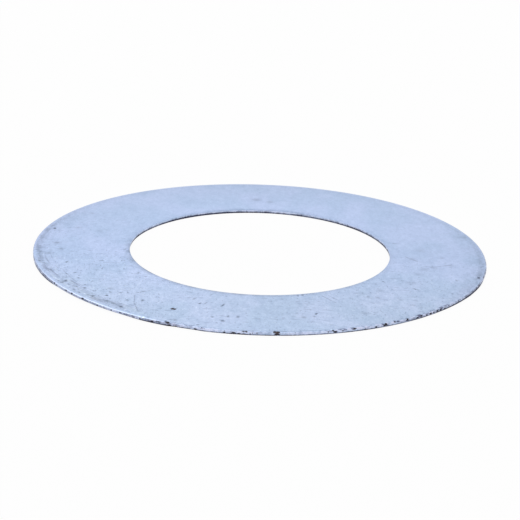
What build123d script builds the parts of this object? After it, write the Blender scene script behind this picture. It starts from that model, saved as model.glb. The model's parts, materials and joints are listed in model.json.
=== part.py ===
"""A thin shim ring, blanked from bright sheet steel. Millimetres, +Z up.

The ring lies flat. Its origin is on the axis of the bore, in the plane of the lower face. Bore and rim
were sheared in one stroke from above, so both walls have the same three zones from the top down: an
edge rolled over by the stroke, a narrow land burnished by the tool, and a torn wall that steps back.
"""

import os

from build123d import *

# Main sizes
outer_diameter = 52.0
bore_diameter = 30.0
thickness = 0.40

# Sheared edges: widths run along the upper face, depths run down from it
rim_roll_width = 0.45
rim_roll_depth = 0.05
rim_corner_radius = 0.08  # handling has rounded the rim's corner, while the bore's is still crisp
bore_roll_width = 0.20
bore_roll_depth = 0.03
land_depth = 0.24  # where the burnished land ends and the torn wall begins
tear_recess = 0.03  # how far the torn wall has stepped back at the lower face
lower_edge_break = 0.02

# Rust has bitten small pieces out of the rim.
# Each bite: angle from +X in degrees, width along the rim, depth into it, drop of its widest point
rim_bites = [
    (249.0, 0.60, 0.20, 0.03),
    (257.4, 0.24, 0.10, 0.05),
    (266.8, 0.36, 0.14, 0.08),
    (274.3, 0.50, 0.24, 0.10),
    (287.6, 0.28, 0.16, 0.12),
    (300.1, 0.30, 0.13, 0.16),
    (306.6, 0.34, 0.14, 0.15),
    (310.6, 0.30, 0.12, 0.10),
    (313.8, 0.26, 0.11, 0.12),
    (317.0, 0.30, 0.12, 0.12),
]

# The deepest rust pits in the upper face.
# Each pit: angle from +X in degrees, distance from the axis, width across, depth
face_pits = [
    (246.2, 22.0, 0.52, 0.05),
    (261.0, 23.4, 0.34, 0.03),
    (287.0, 21.1, 0.36, 0.03),
    (197.0, 22.6, 0.34, 0.03),
]

rim_radius = outer_diameter / 2
bore_radius = bore_diameter / 2


def ball_radius(width, depth):
    """The ball that sinks this deep where its print is this wide."""
    return ((width / 2) ** 2 + depth**2) / (2 * depth)


with BuildPart() as shim_ring:
    # The section between bore and rim, turned once round the bore's axis
    with BuildSketch(Plane.XZ):
        with BuildLine():
            upper_face = Line(
                (bore_radius + bore_roll_width, thickness),
                (rim_radius - rim_roll_width, thickness),
            )
            rim_roll = TangentArc(
                upper_face @ 1,
                (rim_radius, thickness - rim_roll_depth),
                tangent=(1, 0),
            )
            bore_roll = TangentArc(
                upper_face @ 0,
                (bore_radius, thickness - bore_roll_depth),
                tangent=(-1, 0),
            )
            Polyline(
                rim_roll @ 1,
                (rim_radius, thickness - land_depth),
                (rim_radius - tear_recess, lower_edge_break),
                (rim_radius - tear_recess - lower_edge_break, 0),
                (bore_radius + tear_recess + lower_edge_break, 0),
                (bore_radius + tear_recess, lower_edge_break),
                (bore_radius, thickness - land_depth),
                bore_roll @ 1,
            )
        section = make_face()
        rim_corner = section.vertices().sort_by_distance(rim_roll @ 1)[0]
        fillet(rim_corner, radius=rim_corner_radius)
    revolve(axis=Axis.Z)

    for angle, width, depth, drop in rim_bites:
        ball = ball_radius(width, depth)
        centre = Vector(rim_radius - depth + ball, 0, thickness - drop)
        with Locations(centre.rotate(Axis.Z, angle)):
            Sphere(ball, mode=Mode.SUBTRACT)

    for angle, distance, width, depth in face_pits:
        ball = ball_radius(width, depth)
        centre = Vector(distance, 0, thickness - depth + ball)
        with Locations(centre.rotate(Axis.Z, angle)):
            Sphere(ball, mode=Mode.SUBTRACT)

shim_ring.part.label = "shim_ring"

os.makedirs("parts", exist_ok=True)
export_step(shim_ring.part, "parts/shim_ring.step")
print("solids:", len(shim_ring.part.solids()))
print("volume:", round(shim_ring.part.volume, 2), "mm3")
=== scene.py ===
# %% [markdown]
# # A thin steel shim ring
#
# A shim ring is a flat washer cut from thin sheet steel. It is clamped beside a bearing or on a shaft to
# take up a few tenths of a millimetre of play. This one has been used: its sheet is bright and blue-grey,
# its rim is dulled and nicked, and small rust pits dot the face.
#
# The construction model gives the true size. This script loads it as a fixed frame, makes a finer mesh
# over it with the worn edges and pits that the real ring has, and then gives each surface its finish.

# %% Load the frame
import json
import math

import bmesh
import bpy
import numpy as np
from mathutils import Matrix, Vector, noise


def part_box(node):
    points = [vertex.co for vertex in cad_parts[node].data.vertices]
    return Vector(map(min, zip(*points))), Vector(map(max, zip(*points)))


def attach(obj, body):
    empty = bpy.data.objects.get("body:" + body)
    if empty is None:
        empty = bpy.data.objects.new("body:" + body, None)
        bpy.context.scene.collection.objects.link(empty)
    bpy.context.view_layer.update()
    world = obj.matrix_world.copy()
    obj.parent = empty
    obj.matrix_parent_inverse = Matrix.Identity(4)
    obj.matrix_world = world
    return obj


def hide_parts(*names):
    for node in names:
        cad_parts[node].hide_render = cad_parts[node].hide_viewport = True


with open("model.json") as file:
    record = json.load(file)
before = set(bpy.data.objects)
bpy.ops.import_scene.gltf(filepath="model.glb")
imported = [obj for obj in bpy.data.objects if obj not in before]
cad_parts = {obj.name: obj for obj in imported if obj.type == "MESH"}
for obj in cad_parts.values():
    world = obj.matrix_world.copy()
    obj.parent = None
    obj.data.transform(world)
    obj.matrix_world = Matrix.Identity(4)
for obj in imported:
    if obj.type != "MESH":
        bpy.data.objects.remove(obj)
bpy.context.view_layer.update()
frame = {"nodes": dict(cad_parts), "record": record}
MM = 0.001  # the frame is in metres, and the sizes below are easier to read in millimetres
print("nodes in the frame:", len(frame["nodes"]))

# %% [markdown]
# ## Sizes
#
# The thickness is measured on the frame, and the radii of the rim and the bore are stated by their mounts
# in the record. The sheared edges have small sizes of their own. Each edge starts as a wide shallow
# roll, where the cutting stroke dragged the sheet down, and ends in a tight corner above a short smooth
# land. Below the land the steel tore, and that part of the wall steps back a little.

# %% Sizes of the ring, in millimetres
low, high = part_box("shim_ring")
mounts = {mount["name"]: mount for mount in frame["record"]["mounts"]}
RIM = mounts["rim"]["dims"]["r_mm"]
BORE = mounts["bore"]["dims"]["r_mm"]
THICK = (high.z - low.z) / MM

RIM_ROLL = {"width": 0.45, "depth": 0.05, "corner": 0.08}
BORE_ROLL = {"width": 0.20, "depth": 0.03, "corner": 0.015}
LAND_DEPTH = 0.24  # how far below the upper face the smooth land ends
TEAR_RECESS = 0.03  # how far the torn wall steps back
LOWER_BREAK = 0.02  # the broken lower corner
print(f"rim {RIM:.2f} mm, bore {BORE:.2f} mm, sheet {THICK:.2f} mm")

# %% [markdown]
# ## Camera
#
# The ring lies flat and is seen from low in front through a long lens, so it shows as a slim oval. The
# camera stands a little over eight rim radii away. A long lens far off flattens the shape, while a short
# one close by would swell the near side, so lens and distance are set together. A slight roll tips the oval.

# %% Camera
CAMERA_RISE = math.radians(19.0)
CAMERA_ROLL = math.radians(2.0)
CAMERA_DISTANCE = 8.153 * RIM * MM
LOOK_AT = Vector((0.05 * MM, -2.53 * MM, 0.0))

camera_data = bpy.data.cameras.new("camera")
camera_data.lens = 127.0
camera_data.sensor_width = 36.0
camera_data.clip_start = 0.01
camera_data.clip_end = 20.0
camera = bpy.data.objects.new("camera", camera_data)
bpy.context.scene.collection.objects.link(camera)
camera.location = CAMERA_DISTANCE * Vector((0.0, -math.cos(CAMERA_RISE), math.sin(CAMERA_RISE)))
looking = (LOOK_AT - camera.location).to_track_quat("-Z", "Y").to_matrix()
camera.rotation_euler = (looking @ Matrix.Rotation(CAMERA_ROLL, 3, "Z")).to_euler()
bpy.context.scene.camera = camera
bpy.context.scene.view_settings.view_transform = "Standard"
print(f"camera {CAMERA_DISTANCE / MM:.0f} mm away, {math.degrees(CAMERA_RISE):.1f} degrees up")

# %% [markdown]
# ## Small helpers for node trees
#
# Each finish below is a tree of shader nodes. Making a node, setting its values and linking its sockets
# takes several lines each time, so these helpers shorten that to one call. A value that is itself a socket
# gets linked, and any other value is typed into the socket.


# %% Helpers for node trees
def add(tree, kind, sockets=None, **settings):
    """A new node of that kind, with its settings and its input sockets filled in."""
    made = tree.nodes.new(kind if kind.startswith("Node") else "ShaderNode" + kind)
    for name, value in settings.items():
        setattr(made, name, value)
    for name, value in (sockets or {}).items():
        if isinstance(value, bpy.types.NodeSocket):
            tree.links.new(value, made.inputs[name])
        else:
            made.inputs[name].default_value = value
    return made


def calc(tree, operation, a, b=0.0):
    """One sum, such as MULTIPLY, on two numbers."""
    return add(tree, "Math", {0: a, 1: b}, operation=operation).outputs[0]


# %% [markdown]
# ## Floor, world and lamp
#
# The ring lies on a plain white card. The world is white too, and it lights everything evenly. Seen
# directly, in a reflection or through glass, world and card are pure white. The Light Path node sorts that
# out: it says which kind of ray has arrived. The card still takes the ring's shadow through its matt half.
# From below it is see-through, so the ring's lower face can be looked at.
#
# One soft lamp stands high behind the ring, to the left. Flat steel mirrors only what lies straight behind
# it, so this lamp shows just where the edge rolls over on the near left side, as a thin bright line. A
# highlight painted on that rubbed edge makes the line brighter.

# %% World
PURE_WHITE = (1.0, 1.0, 1.0, 1.0)
WORLD_LIGHT = 0.82


def looked_at(tree):
    """1 where the camera, a reflection or glass looks at this, and 0 where it only lights something."""
    seen = add(tree, "LightPath").outputs
    direct = calc(tree, "MAXIMUM", seen["Is Camera Ray"], seen["Is Glossy Ray"])
    return calc(tree, "MAXIMUM", direct, seen["Is Transmission Ray"])


world = bpy.data.worlds.new("white_room")
bpy.context.scene.world = world
world.use_nodes = True
sky = world.node_tree
sky.nodes.clear()
sockets = {"Value": looked_at(sky), "To Min": WORLD_LIGHT, "To Max": 1.0}
strength = add(sky, "MapRange", sockets).outputs[0]
white_sky = add(sky, "Background", {"Color": PURE_WHITE, "Strength": strength})
add(sky, "OutputWorld", {"Surface": white_sky.outputs[0]})
print("world light:", WORLD_LIGHT)

# %% Floor
FLOOR_SIZE = 3.0
FLOOR_GAP = 0.02 * MM
CARD_WHITE = (0.96, 0.96, 0.96, 1.0)
PLAIN_SHARE = 0.94  # how much of the card's look is plain white; the rest takes the shadow

card = bpy.data.materials.new("white_card")
card.use_nodes = True
tree = card.node_tree
tree.nodes.clear()
matt = add(tree, "BsdfDiffuse", {"Color": CARD_WHITE}).outputs[0]
plain = add(tree, "Emission", {"Color": PURE_WHITE, "Strength": 1.0}).outputs[0]
share = calc(tree, "MULTIPLY", looked_at(tree), PLAIN_SHARE)
above = add(tree, "MixShader", {0: share, 1: matt, 2: plain}).outputs[0]
behind = add(tree, "NewGeometry").outputs["Backfacing"]
clear = add(tree, "BsdfTransparent").outputs[0]
both = add(tree, "MixShader", {0: behind, 1: above, 2: clear}).outputs[0]
add(tree, "OutputMaterial", {"Surface": both})

floor_mesh = bpy.data.meshes.new("floor")
half = FLOOR_SIZE / 2
corners = [(-half, -half, 0.0), (half, -half, 0.0), (half, half, 0.0), (-half, half, 0.0)]
floor_mesh.from_pydata(corners, [], [(0, 1, 2, 3)])
floor_mesh.materials.append(card)
floor = bpy.data.objects.new("floor", floor_mesh)
floor.location.z = low.z - FLOOR_GAP
bpy.context.scene.collection.objects.link(floor)
print(f"floor {FLOOR_SIZE:.1f} m wide, {FLOOR_GAP / MM:.2f} mm below the ring")

# %% Lamp
LAMP_TURN = math.radians(122.0)
LAMP_RISE = math.radians(45.0)
LAMP_DISTANCE = 0.5
LAMP_SIZE = (0.20, 0.20)
LAMP_GLOW = 1.3  # its brightness, where white paper is 1

toward = Vector((math.cos(LAMP_TURN), math.sin(LAMP_TURN), 0.0)) * math.cos(LAMP_RISE)
toward.z = math.sin(LAMP_RISE)
lamp_data = bpy.data.lights.new("softbox", "AREA")
lamp_data.shape = "RECTANGLE"
lamp_data.size, lamp_data.size_y = LAMP_SIZE
lamp_data.energy = LAMP_GLOW * math.pi * LAMP_SIZE[0] * LAMP_SIZE[1]
lamp = bpy.data.objects.new("softbox", lamp_data)
lamp.location = LAMP_DISTANCE * toward
lamp.rotation_euler = toward.to_track_quat("Z", "Y").to_euler()
bpy.context.scene.collection.objects.link(lamp)
print(f"lamp of {lamp_data.energy:.2f} W")

# %% [markdown]
# ## The ring's section
#
# The ring is one section turned round the bore's axis. The section is a list of points that goes from the
# bore, over the upper face, down the rim and back under the ring. Each point is a row of the mesh. Rows
# are close together where the edge curves or carries marks, and far apart on the flat.
#
# A rolled edge is two arcs that meet smoothly: a wide shallow one, and a tight one at the corner. Their
# radii follow from the roll's width and depth, by the right-angled triangle between the arcs' centres.

# %% Helpers for the section
def rolled_edge(width, depth, corner, wide_steps, tight_steps):
    """Points over a rolled edge, from the face to the land: (distance in from the wall, drop)."""
    sweep = (width**2 + depth**2) / (2 * depth)
    drop = sweep - math.sqrt((sweep - corner) ** 2 - (width - corner) ** 2)
    meet = math.asin((width - corner) / (sweep - corner))
    wide = np.linspace(0, meet, wide_steps)
    wide = [(width - sweep * math.sin(a), sweep - sweep * math.cos(a)) for a in wide]
    tight = np.linspace(meet, math.pi / 2, tight_steps)[1:]
    tight = [(corner - corner * math.sin(a), drop - corner * math.cos(a)) for a in tight]
    return wide, tight


def run(start, end, steps):
    """Points from start to end, without the first."""
    return [tuple(p) for p in np.linspace(start, end, steps + 1)[1:]]


# %% Section of the ring
CLOSE_ROWS = 21.5  # from this distance outwards the face carries most of its marks


def ring_section():
    """The section's points in millimetres: (radius, height, zone that follows)."""
    bore_wide, bore_tight = rolled_edge(**BORE_ROLL, wide_steps=5, tight_steps=4)
    rim_wide, rim_tight = rolled_edge(**RIM_ROLL, wide_steps=7, tight_steps=8)
    rows = [(BORE + x, THICK - y, "upper") for x, y in reversed(bore_wide + bore_tight)]
    rows += [(r, THICK, "upper") for r, _ in run((BORE + BORE_ROLL["width"], 0), (CLOSE_ROWS, 0), 10)]
    rows += [(r, THICK, "upper") for r, _ in run((CLOSE_ROWS, 0), (RIM - RIM_ROLL["width"], 0), 16)[:-1]]
    rows += [(RIM - x, THICK - y, "upper") for x, y in rim_wide[:-1]]
    rows += [(RIM - x, THICK - y, "rim") for x, y in [rim_wide[-1], *rim_tight]]
    rows += [(r, z, "rim") for r, z in run(rows[-1][:2], (RIM, THICK - LAND_DEPTH), 3)]
    rows += [(r, z, "rim") for r, z in run(rows[-1][:2], (RIM - TEAR_RECESS, LOWER_BREAK), 4)]
    rows += [(RIM - TEAR_RECESS - LOWER_BREAK, 0.0, "lower")]
    inside = BORE + TEAR_RECESS + LOWER_BREAK
    rows += [(r, z, "lower") for r, z in run(rows[-1][:2], (inside, 0.0), 16)[:-1]]
    rows += [(inside, 0.0, "bore"), (BORE + TEAR_RECESS, LOWER_BREAK, "bore")]
    rows += [(r, z, "bore") for r, z in run(rows[-1][:2], (BORE, THICK - LAND_DEPTH), 4)]
    rows += [(r, z, "bore") for r, z in run(rows[-1][:2], rows[0][:2], 3)[:-1]]
    return rows


section = ring_section()
print("section points:", len(section))

# %% [markdown]
# ## Turning the section
#
# Turning the section in equal steps gives a net of four-sided faces. The net closes on itself both ways,
# so the ring is a sealed solid. Each face remembers its zone, which later chooses its finish and its
# place on the texture map.

# %% Turn the section into a net
COLUMNS = 540
ZONES = ["upper", "rim", "lower", "bore"]

net = bmesh.new()
zone_of = net.faces.layers.int.new("zone")
steps = [2 * math.pi * j / COLUMNS for j in range(COLUMNS)]
grid = [[net.verts.new((r * math.cos(a), r * math.sin(a), z)) for a in steps] for r, z, _ in section]
for i, (_, _, zone) in enumerate(section):
    here, after = grid[i], grid[(i + 1) % len(grid)]
    for j in range(COLUMNS):
        k = (j + 1) % COLUMNS
        quad = net.faces.new((here[j], after[j], after[k], here[k]))
        quad[zone_of] = ZONES.index(zone)
print("net faces:", len(net.faces))

# %% [markdown]
# ## Where the marks are
#
# Rust leaves two kinds of mark. Bites are pieces gone from the rim, and pits are small holes in the upper
# face. Smudges are flat: grey breath on the steel with no depth. A few bright spots among them are painted
# glints. Each mark is placed by its angle round the ring, with 0 to the right and 270 in front, and by its
# distance from the axis.
#
# The big ones are placed one by one. Between them the front of the rim has many tiny chips, which come
# from a random generator with a fixed seed, so that they are the same on each run.

# %% Bites in the rim: angle, width along the rim, depth, drop of the widest point, brownness, strength
BITES = [
    (249.1, 0.52, 0.20, 0.05, 0.1, 1.0),
    (249.6, 0.50, 0.10, 0.28, 0.1, 1.0),
    (251.0, 0.60, 0.05, 0.32, 0.0, 1.0),
    (255.8, 0.34, 0.07, 0.24, 0.0, 1.0),
    (257.3, 0.26, 0.09, 0.02, 0.0, 1.0),
    (262.6, 0.30, 0.07, 0.26, 0.0, 1.0),
    (264.7, 0.60, 0.09, 0.26, 0.0, 1.0),
    (265.9, 0.40, 0.07, 0.30, 0.0, 1.0),
    (266.9, 0.44, 0.09, 0.00, 0.1, 1.0),
    (267.5, 0.46, 0.09, 0.00, 0.1, 1.0),
    (268.5, 0.30, 0.05, 0.00, 0.0, 0.7),
    (267.0, 0.34, 0.05, 0.32, 0.0, 0.8),
    (274.1, 0.50, 0.24, 0.05, 0.7, 1.0),
    (274.8, 0.50, 0.18, 0.05, 0.6, 1.0),
    (274.6, 0.66, 0.14, 0.26, 0.3, 1.0),
    (287.5, 0.28, 0.12, 0.06, 0.0, 0.9),
    (288.2, 0.40, 0.18, 0.20, 0.0, 1.0),
    (292.9, 0.62, 0.12, 0.10, 0.0, 0.7),
    (298.3, 0.30, 0.09, 0.22, 0.0, 1.0),
    (300.9, 0.64, 0.15, 0.20, 0.0, 1.0),
    (301.0, 0.40, 0.12, 0.10, 0.0, 1.0),
    (303.6, 0.30, 0.08, 0.04, 0.0, 1.0),
    (307.3, 0.46, 0.15, 0.20, 0.0, 1.0),
    (307.4, 0.34, 0.12, 0.10, 0.0, 1.0),
    (310.4, 0.38, 0.12, 0.22, 0.1, 1.0),
    (311.7, 0.38, 0.12, 0.14, 0.1, 1.0),
    (313.6, 0.34, 0.11, 0.24, 0.1, 1.0),
    (314.9, 0.40, 0.12, 0.20, 0.2, 1.0),
    (316.0, 0.32, 0.11, 0.20, 0.2, 1.0),
    (317.4, 0.38, 0.12, 0.20, 0.1, 1.0),
    (318.7, 0.42, 0.13, 0.18, 0.2, 1.0),
    (320.2, 0.30, 0.08, 0.22, 0.0, 0.8),
    (211.4, 0.40, 0.06, 0.10, 0.0, 1.0),
    (212.6, 0.30, 0.05, 0.16, 0.0, 1.0),
    (217.3, 0.30, 0.05, 0.08, 0.0, 1.0),
    (219.8, 0.36, 0.06, 0.08, 0.0, 1.0),
    (224.1, 0.44, 0.09, 0.12, 0.0, 1.0),
    (229.4, 0.24, 0.05, 0.14, 0.0, 1.0),
    (233.8, 0.24, 0.05, 0.14, 0.0, 1.0),
    (236.4, 0.24, 0.05, 0.12, 0.0, 1.0),
    (242.0, 0.30, 0.06, 0.22, 0.0, 1.0),
    (245.2, 0.40, 0.09, 0.20, 0.0, 1.0),
]
print("bites:", len(BITES))

# %% Pits in the upper face: angle, distance from the axis, width, depth, darkness, brownness
PITS = [
    (246.1, 22.10, 0.24, 0.050, 0.81, 0.7),
    (246.7, 22.10, 0.24, 0.050, 0.81, 0.6),
    (261.1, 23.45, 0.26, 0.030, 0.52, 0.3),
    (287.0, 21.10, 0.18, 0.030, 0.70, 0.1),
    (197.2, 22.60, 0.22, 0.030, 0.50, 0.0),
    (168.0, 24.85, 0.24, 0.020, 0.76, 0.0),
    (343.8, 25.55, 0.24, 0.020, 0.75, 0.0),
    (198.1, 18.60, 0.20, 0.020, 0.70, 0.0),
    (186.0, 15.45, 0.18, 0.015, 0.60, 0.0),
    (194.6, 25.50, 0.22, 0.015, 0.50, 0.0),
    (206.6, 22.65, 0.18, 0.015, 0.45, 0.0),
    (206.5, 23.65, 0.14, 0.015, 0.38, 0.0),
    (211.0, 23.00, 0.18, 0.015, 0.35, 0.0),
    (211.6, 24.65, 0.24, 0.025, 0.62, 0.0),
    (215.1, 16.30, 0.18, 0.020, 0.70, 0.0),
    (217.0, 24.55, 0.16, 0.015, 0.35, 0.0),
    (218.7, 24.00, 0.18, 0.020, 0.75, 0.0),
    (223.1, 24.95, 0.16, 0.015, 0.42, 0.0),
    (224.5, 24.70, 0.18, 0.020, 0.60, 0.0),
    (225.3, 22.55, 0.18, 0.015, 0.55, 0.0),
    (226.6, 23.50, 0.22, 0.020, 0.75, 0.0),
    (227.3, 21.80, 0.20, 0.015, 0.36, 0.0),
    (229.5, 24.70, 0.22, 0.015, 0.30, 0.0),
    (231.8, 24.70, 0.19, 0.015, 0.35, 0.0),
    (232.5, 22.90, 0.16, 0.015, 0.35, 0.0),
    (234.6, 24.80, 0.25, 0.020, 0.60, 0.0),
    (235.8, 21.85, 0.19, 0.020, 0.52, 0.0),
    (248.2, 18.30, 0.15, 0.015, 0.38, 0.0),
    (250.0, 24.95, 0.15, 0.015, 0.40, 0.0),
    (251.2, 19.35, 0.17, 0.020, 0.80, 0.0),
    (253.1, 19.10, 0.15, 0.015, 0.65, 0.0),
    (255.9, 25.30, 0.20, 0.015, 0.36, 0.0),
    (258.1, 22.70, 0.19, 0.015, 0.40, 0.0),
    (258.7, 18.90, 0.15, 0.020, 0.75, 0.0),
    (261.9, 22.00, 0.20, 0.015, 0.48, 0.0),
    (264.5, 21.95, 0.20, 0.020, 0.55, 0.0),
    (286.0, 15.50, 0.24, 0.015, 0.42, 0.0),
    (288.0, 15.40, 0.24, 0.015, 0.42, 0.0),
    (325.3, 16.70, 0.20, 0.015, 0.70, 0.0),
    (326.0, 20.70, 0.20, 0.020, 0.66, 0.0),
    (329.0, 24.65, 0.17, 0.015, 0.30, 0.0),
    (339.2, 23.45, 0.17, 0.015, 0.35, 0.0),
    (210.6, 25.30, 0.16, 0.015, 0.40, 0.0),
    (212.4, 25.20, 0.22, 0.015, 0.40, 0.0),
    (218.3, 25.25, 0.16, 0.015, 0.40, 0.0),
    (220.7, 25.25, 0.14, 0.015, 0.45, 0.0),
    (216.5, 23.40, 0.14, 0.015, 0.32, 0.0),
    (236.3, 23.30, 0.14, 0.015, 0.32, 0.0),
    (252.1, 16.30, 0.16, 0.015, 0.30, 0.0),
    (248.4, 25.70, 0.15, 0.015, 0.60, 0.0),
]
print("pits:", len(PITS))

# %% Smudges and painted glints: angle, distance from the axis, width, darkness, which is below 0 for a painted glint
SMUDGES_AND_GLINTS = [
    (185.4, 22.85, 0.6, 0.55),
    (180.2, 23.45, 0.7, 0.65),
    (189.0, 24.25, 0.8, 0.45),
    (151.0, 23.40, 0.5, 0.30),
    (209.2, 24.15, 0.4, 0.50),
    (222.9, 21.85, 0.6, 0.48),
    # the next three are painted glints: bright spots of painted light at the rim
    (241.7, 25.88, 0.24, -1.3),
    (242.7, 25.88, 0.28, -1.8),
    (287.0, 25.85, 0.30, -1.0),
    (250.6, 25.85, 0.50, 0.50),
    (231.2, 19.70, 0.6, 0.28),
    (282.7, 21.90, 0.6, 0.55),
    (285.8, 21.90, 0.4, 0.40),
    (300.0, 22.55, 0.8, 0.35),
    (309.2, 18.75, 0.4, 0.55),
    (311.3, 19.50, 0.4, 0.55),
    (316.8, 18.20, 0.8, 0.30),
    (330.0, 19.40, 1.2, 0.22),
    (345.0, 19.30, 1.0, 0.28),
    (347.5, 20.40, 0.9, 0.25),
    (351.0, 22.00, 1.0, 0.22),
    (354.9, 17.50, 0.9, 0.30),
    (16.5, 25.10, 0.9, 0.25),
    (86.7, 18.50, 0.9, 0.38),
    (92.0, 19.20, 1.1, 0.45),
    (4.8, 18.70, 1.0, 0.25),
    (13.8, 16.20, 0.5, 0.35),
    (165.1, 22.30, 0.8, 0.30),
    (166.0, 19.50, 0.9, 0.20),
    (309.4, 17.50, 1.0, 0.15),
    (314.9, 23.50, 0.6, 0.30),
    (315.4, 21.60, 0.4, 0.40),
    (315.5, 24.40, 0.5, 0.30),
    (330.6, 19.60, 0.8, 0.30),
    (339.4, 19.10, 0.8, 0.25),
    (357.9, 21.00, 0.6, 0.30),
]
print("smudges:", len(SMUDGES_AND_GLINTS))

# %% Tiny chips along the front of the rim
CHIP_SEED = 11
CHIP_COUNT = 48

dice = np.random.default_rng(CHIP_SEED)
CHIPS = [
    (
        dice.uniform(244, 346),
        dice.uniform(0.10, 0.35),
        dice.uniform(0.01, 0.04),
        dice.uniform(0.00, 0.30),
        dice.uniform(0.0, 0.3),
        dice.uniform(0.3, 0.8),
    )
    for _ in range(CHIP_COUNT)
]
print("chips:", len(CHIPS))

# %% [markdown]
# ## A finer net where the marks are
#
# The even net is too coarse for a pit a third of a millimetre wide. Making all of it finer would cost
# millions of faces, so only the edges near a mark are split, again and again, until they are short enough
# for that mark. The rest stays as it is.

# %% How long an edge may be
FRONT = (196, 348)  # the part of the rim that is seen from close by, in degrees
FRONT_DEPTH = 0.4  # how far in from the rim that part goes
FRONT_EDGE = 0.17  # the longest edge allowed there
PIT_EDGES = 5  # how many edges should cross a pit
SMUDGE_EDGES = 4
SPOT_REACH = (0.7, 0.05)  # a spot's edges are short out to this share of its width, and a little more
BITE_REACH = (0.55, 0.03)
BITE_DEPTH = 0.5
BITE_EDGE = 0.07  # the longest edge allowed at a bite


def on_ring(angle, distance):
    """The place at this angle in degrees and this distance from the axis."""
    return np.array([math.cos(math.radians(angle)), math.sin(math.radians(angle))]) * distance


def polar(places):
    """Angle in degrees and distance from the axis of each place."""
    return np.degrees(np.arctan2(places[:, 1], places[:, 0])) % 360, np.hypot(places[:, 0], places[:, 1])


def wanted_lengths(middles):
    """The longest edge allowed at each of these places, in millimetres."""
    angle, radius = polar(middles)
    wanted = np.full(len(middles), np.inf)
    in_front = (angle > FRONT[0]) & (angle < FRONT[1])
    wanted[in_front & (radius > RIM - FRONT_DEPTH)] = FRONT_EDGE
    upper = middles[:, 2] > THICK / 2
    spots = [(*pit[:3], PIT_EDGES) for pit in PITS] + [(*smudge_and_painted_light[:3], SMUDGE_EDGES) for smudge_and_painted_light in SMUDGES_AND_GLINTS]
    for at, distance, width, parts in spots:
        apart = np.linalg.norm(middles[:, :2] - on_ring(at, distance), axis=1)
        near = upper & (apart < SPOT_REACH[0] * width + SPOT_REACH[1])
        wanted[near] = np.minimum(wanted[near], width / parts)
    for at, width, *_ in BITES:
        along = np.radians(np.abs(angle - at)) * RIM
        near = (along < BITE_REACH[0] * width + BITE_REACH[1]) & (radius > RIM - BITE_DEPTH)
        wanted[near] = np.minimum(wanted[near], BITE_EDGE)
    return wanted


# %% Split the net near the marks
SPLIT_ROUNDS = 5

for _ in range(SPLIT_ROUNDS):
    edges = list(net.edges)
    ends = np.array([(*edge.verts[0].co, *edge.verts[1].co) for edge in edges])
    length = np.linalg.norm(ends[:, :3] - ends[:, 3:], axis=1)
    too_long = length > wanted_lengths((ends[:, :3] + ends[:, 3:]) / 2)
    if not too_long.any():
        break
    split = [edges[i] for i in np.nonzero(too_long)[0]]
    bmesh.ops.subdivide_edges(net, edges=split, cuts=1, use_grid_fill=True)
print("net faces after splitting:", len(net.faces))

# %% [markdown]
# ## Pressing the marks in
#
# A bite is the print of a ball pushed in from outside the rim, and a pit is the print of a ball pushed
# down into the face. Where a point of the net lies inside such a ball, it moves to the ball's surface:
# straight down for a pit, and towards the axis for a bite. The flat face next to a bite gives way too, so
# that the net only gets denser there and never folds. Noise makes the balls lumpy, as rust does.
#
# The same loops paint how stained each point is. Each kind of wear, and each kind of painted light and
# shade, is a list with one number per point. It is later stored on the mesh as an attribute, which the
# materials read.

# %% Points of the net, and what is painted on them
PAINTED = ["stain", "brown", "smudge_and_painted_light", "dirt_and_shade", "marked", "oxide_and_shade", "rubbed_and_highlight", "arced", "sheen", "nicked"]

net.verts.ensure_lookup_table()
points = np.array([vert.co for vert in net.verts])
angle, radius = polar(points)
height = points[:, 2].copy()
upper = height > THICK / 2
paint = {name: np.zeros(len(points)) for name in PAINTED}
print("points of the net:", len(points))


# %% Helpers for pressing
def lumps(points, size):
    """Noise from about -1 to 1 at each point, with lumps of this size in millimetres."""
    return np.array([noise.noise(Vector(p / size)) for p in points])


def ball_radius(width, depth):
    """The ball that sinks this deep where its print is this wide."""
    return ((width / 2) ** 2 + depth**2) / (2 * depth)


def stain(which, shade, brownness):
    """Darkens these points, and keeps the brownness of their strongest mark."""
    stronger = which[shade > paint["stain"][which]]
    paint["brown"][stronger] = brownness
    paint["stain"][which] = np.maximum(paint["stain"][which], shade)


# %% Press the bites in
BITE_BELT = 1.2  # no bite or stain of a bite reaches further in than this
BITE_LUMPS = 0.16  # the size of the lumps
BITE_LUMPINESS = 0.35  # and how much they change a bite's depth and a stain's reach
STAIN_END = 1.35  # where a bite's stain ends, in halves of the bite's width
STAIN_INSET = 0.4  # on the face the stain is full as far in as this share of the bite's depth
STAIN_INWARD = 2.2  # and further in it ends this much sooner
BITE_ROUND = 0.9  # small bites are round, and wide ones low
BITE_FLATTEN = 2.4

sunk = np.zeros(len(points))
belt = np.nonzero(radius > RIM - BITE_BELT)[0]
lumpy = 1 + BITE_LUMPINESS * lumps(points[belt], BITE_LUMPS)
for at, width, depth, drop, brownness, strength in BITES + CHIPS:
    ball = ball_radius(width, depth)
    along = np.radians((angle[belt] - at + 180) % 360 - 180) * RIM
    up = (BITE_ROUND + BITE_FLATTEN * width) * (height[belt] - (THICK - drop))
    inside = ball**2 - along**2 - up**2
    bite = np.where(inside > 0, np.sqrt(np.maximum(inside, 0)) - (ball - depth), 0)
    sunk[belt] = np.maximum(sunk[belt], bite * lumpy)
    inward = np.maximum(RIM - radius[belt] - STAIN_INSET * depth, 0)
    away = np.sqrt(along**2 + up**2 + (STAIN_INWARD * inward) ** 2) * lumpy
    stain(belt, strength * np.clip(STAIN_END - 2 * away / width, 0, 1), brownness)
print("points inside a bite or chip:", np.count_nonzero(sunk))


# %% Press the pits in
def hump(value, middle, width):
    """1 at the middle, and smoothly less on both sides: about a third is left one width away."""
    return np.exp(-(((value - middle) / width) ** 2))


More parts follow.
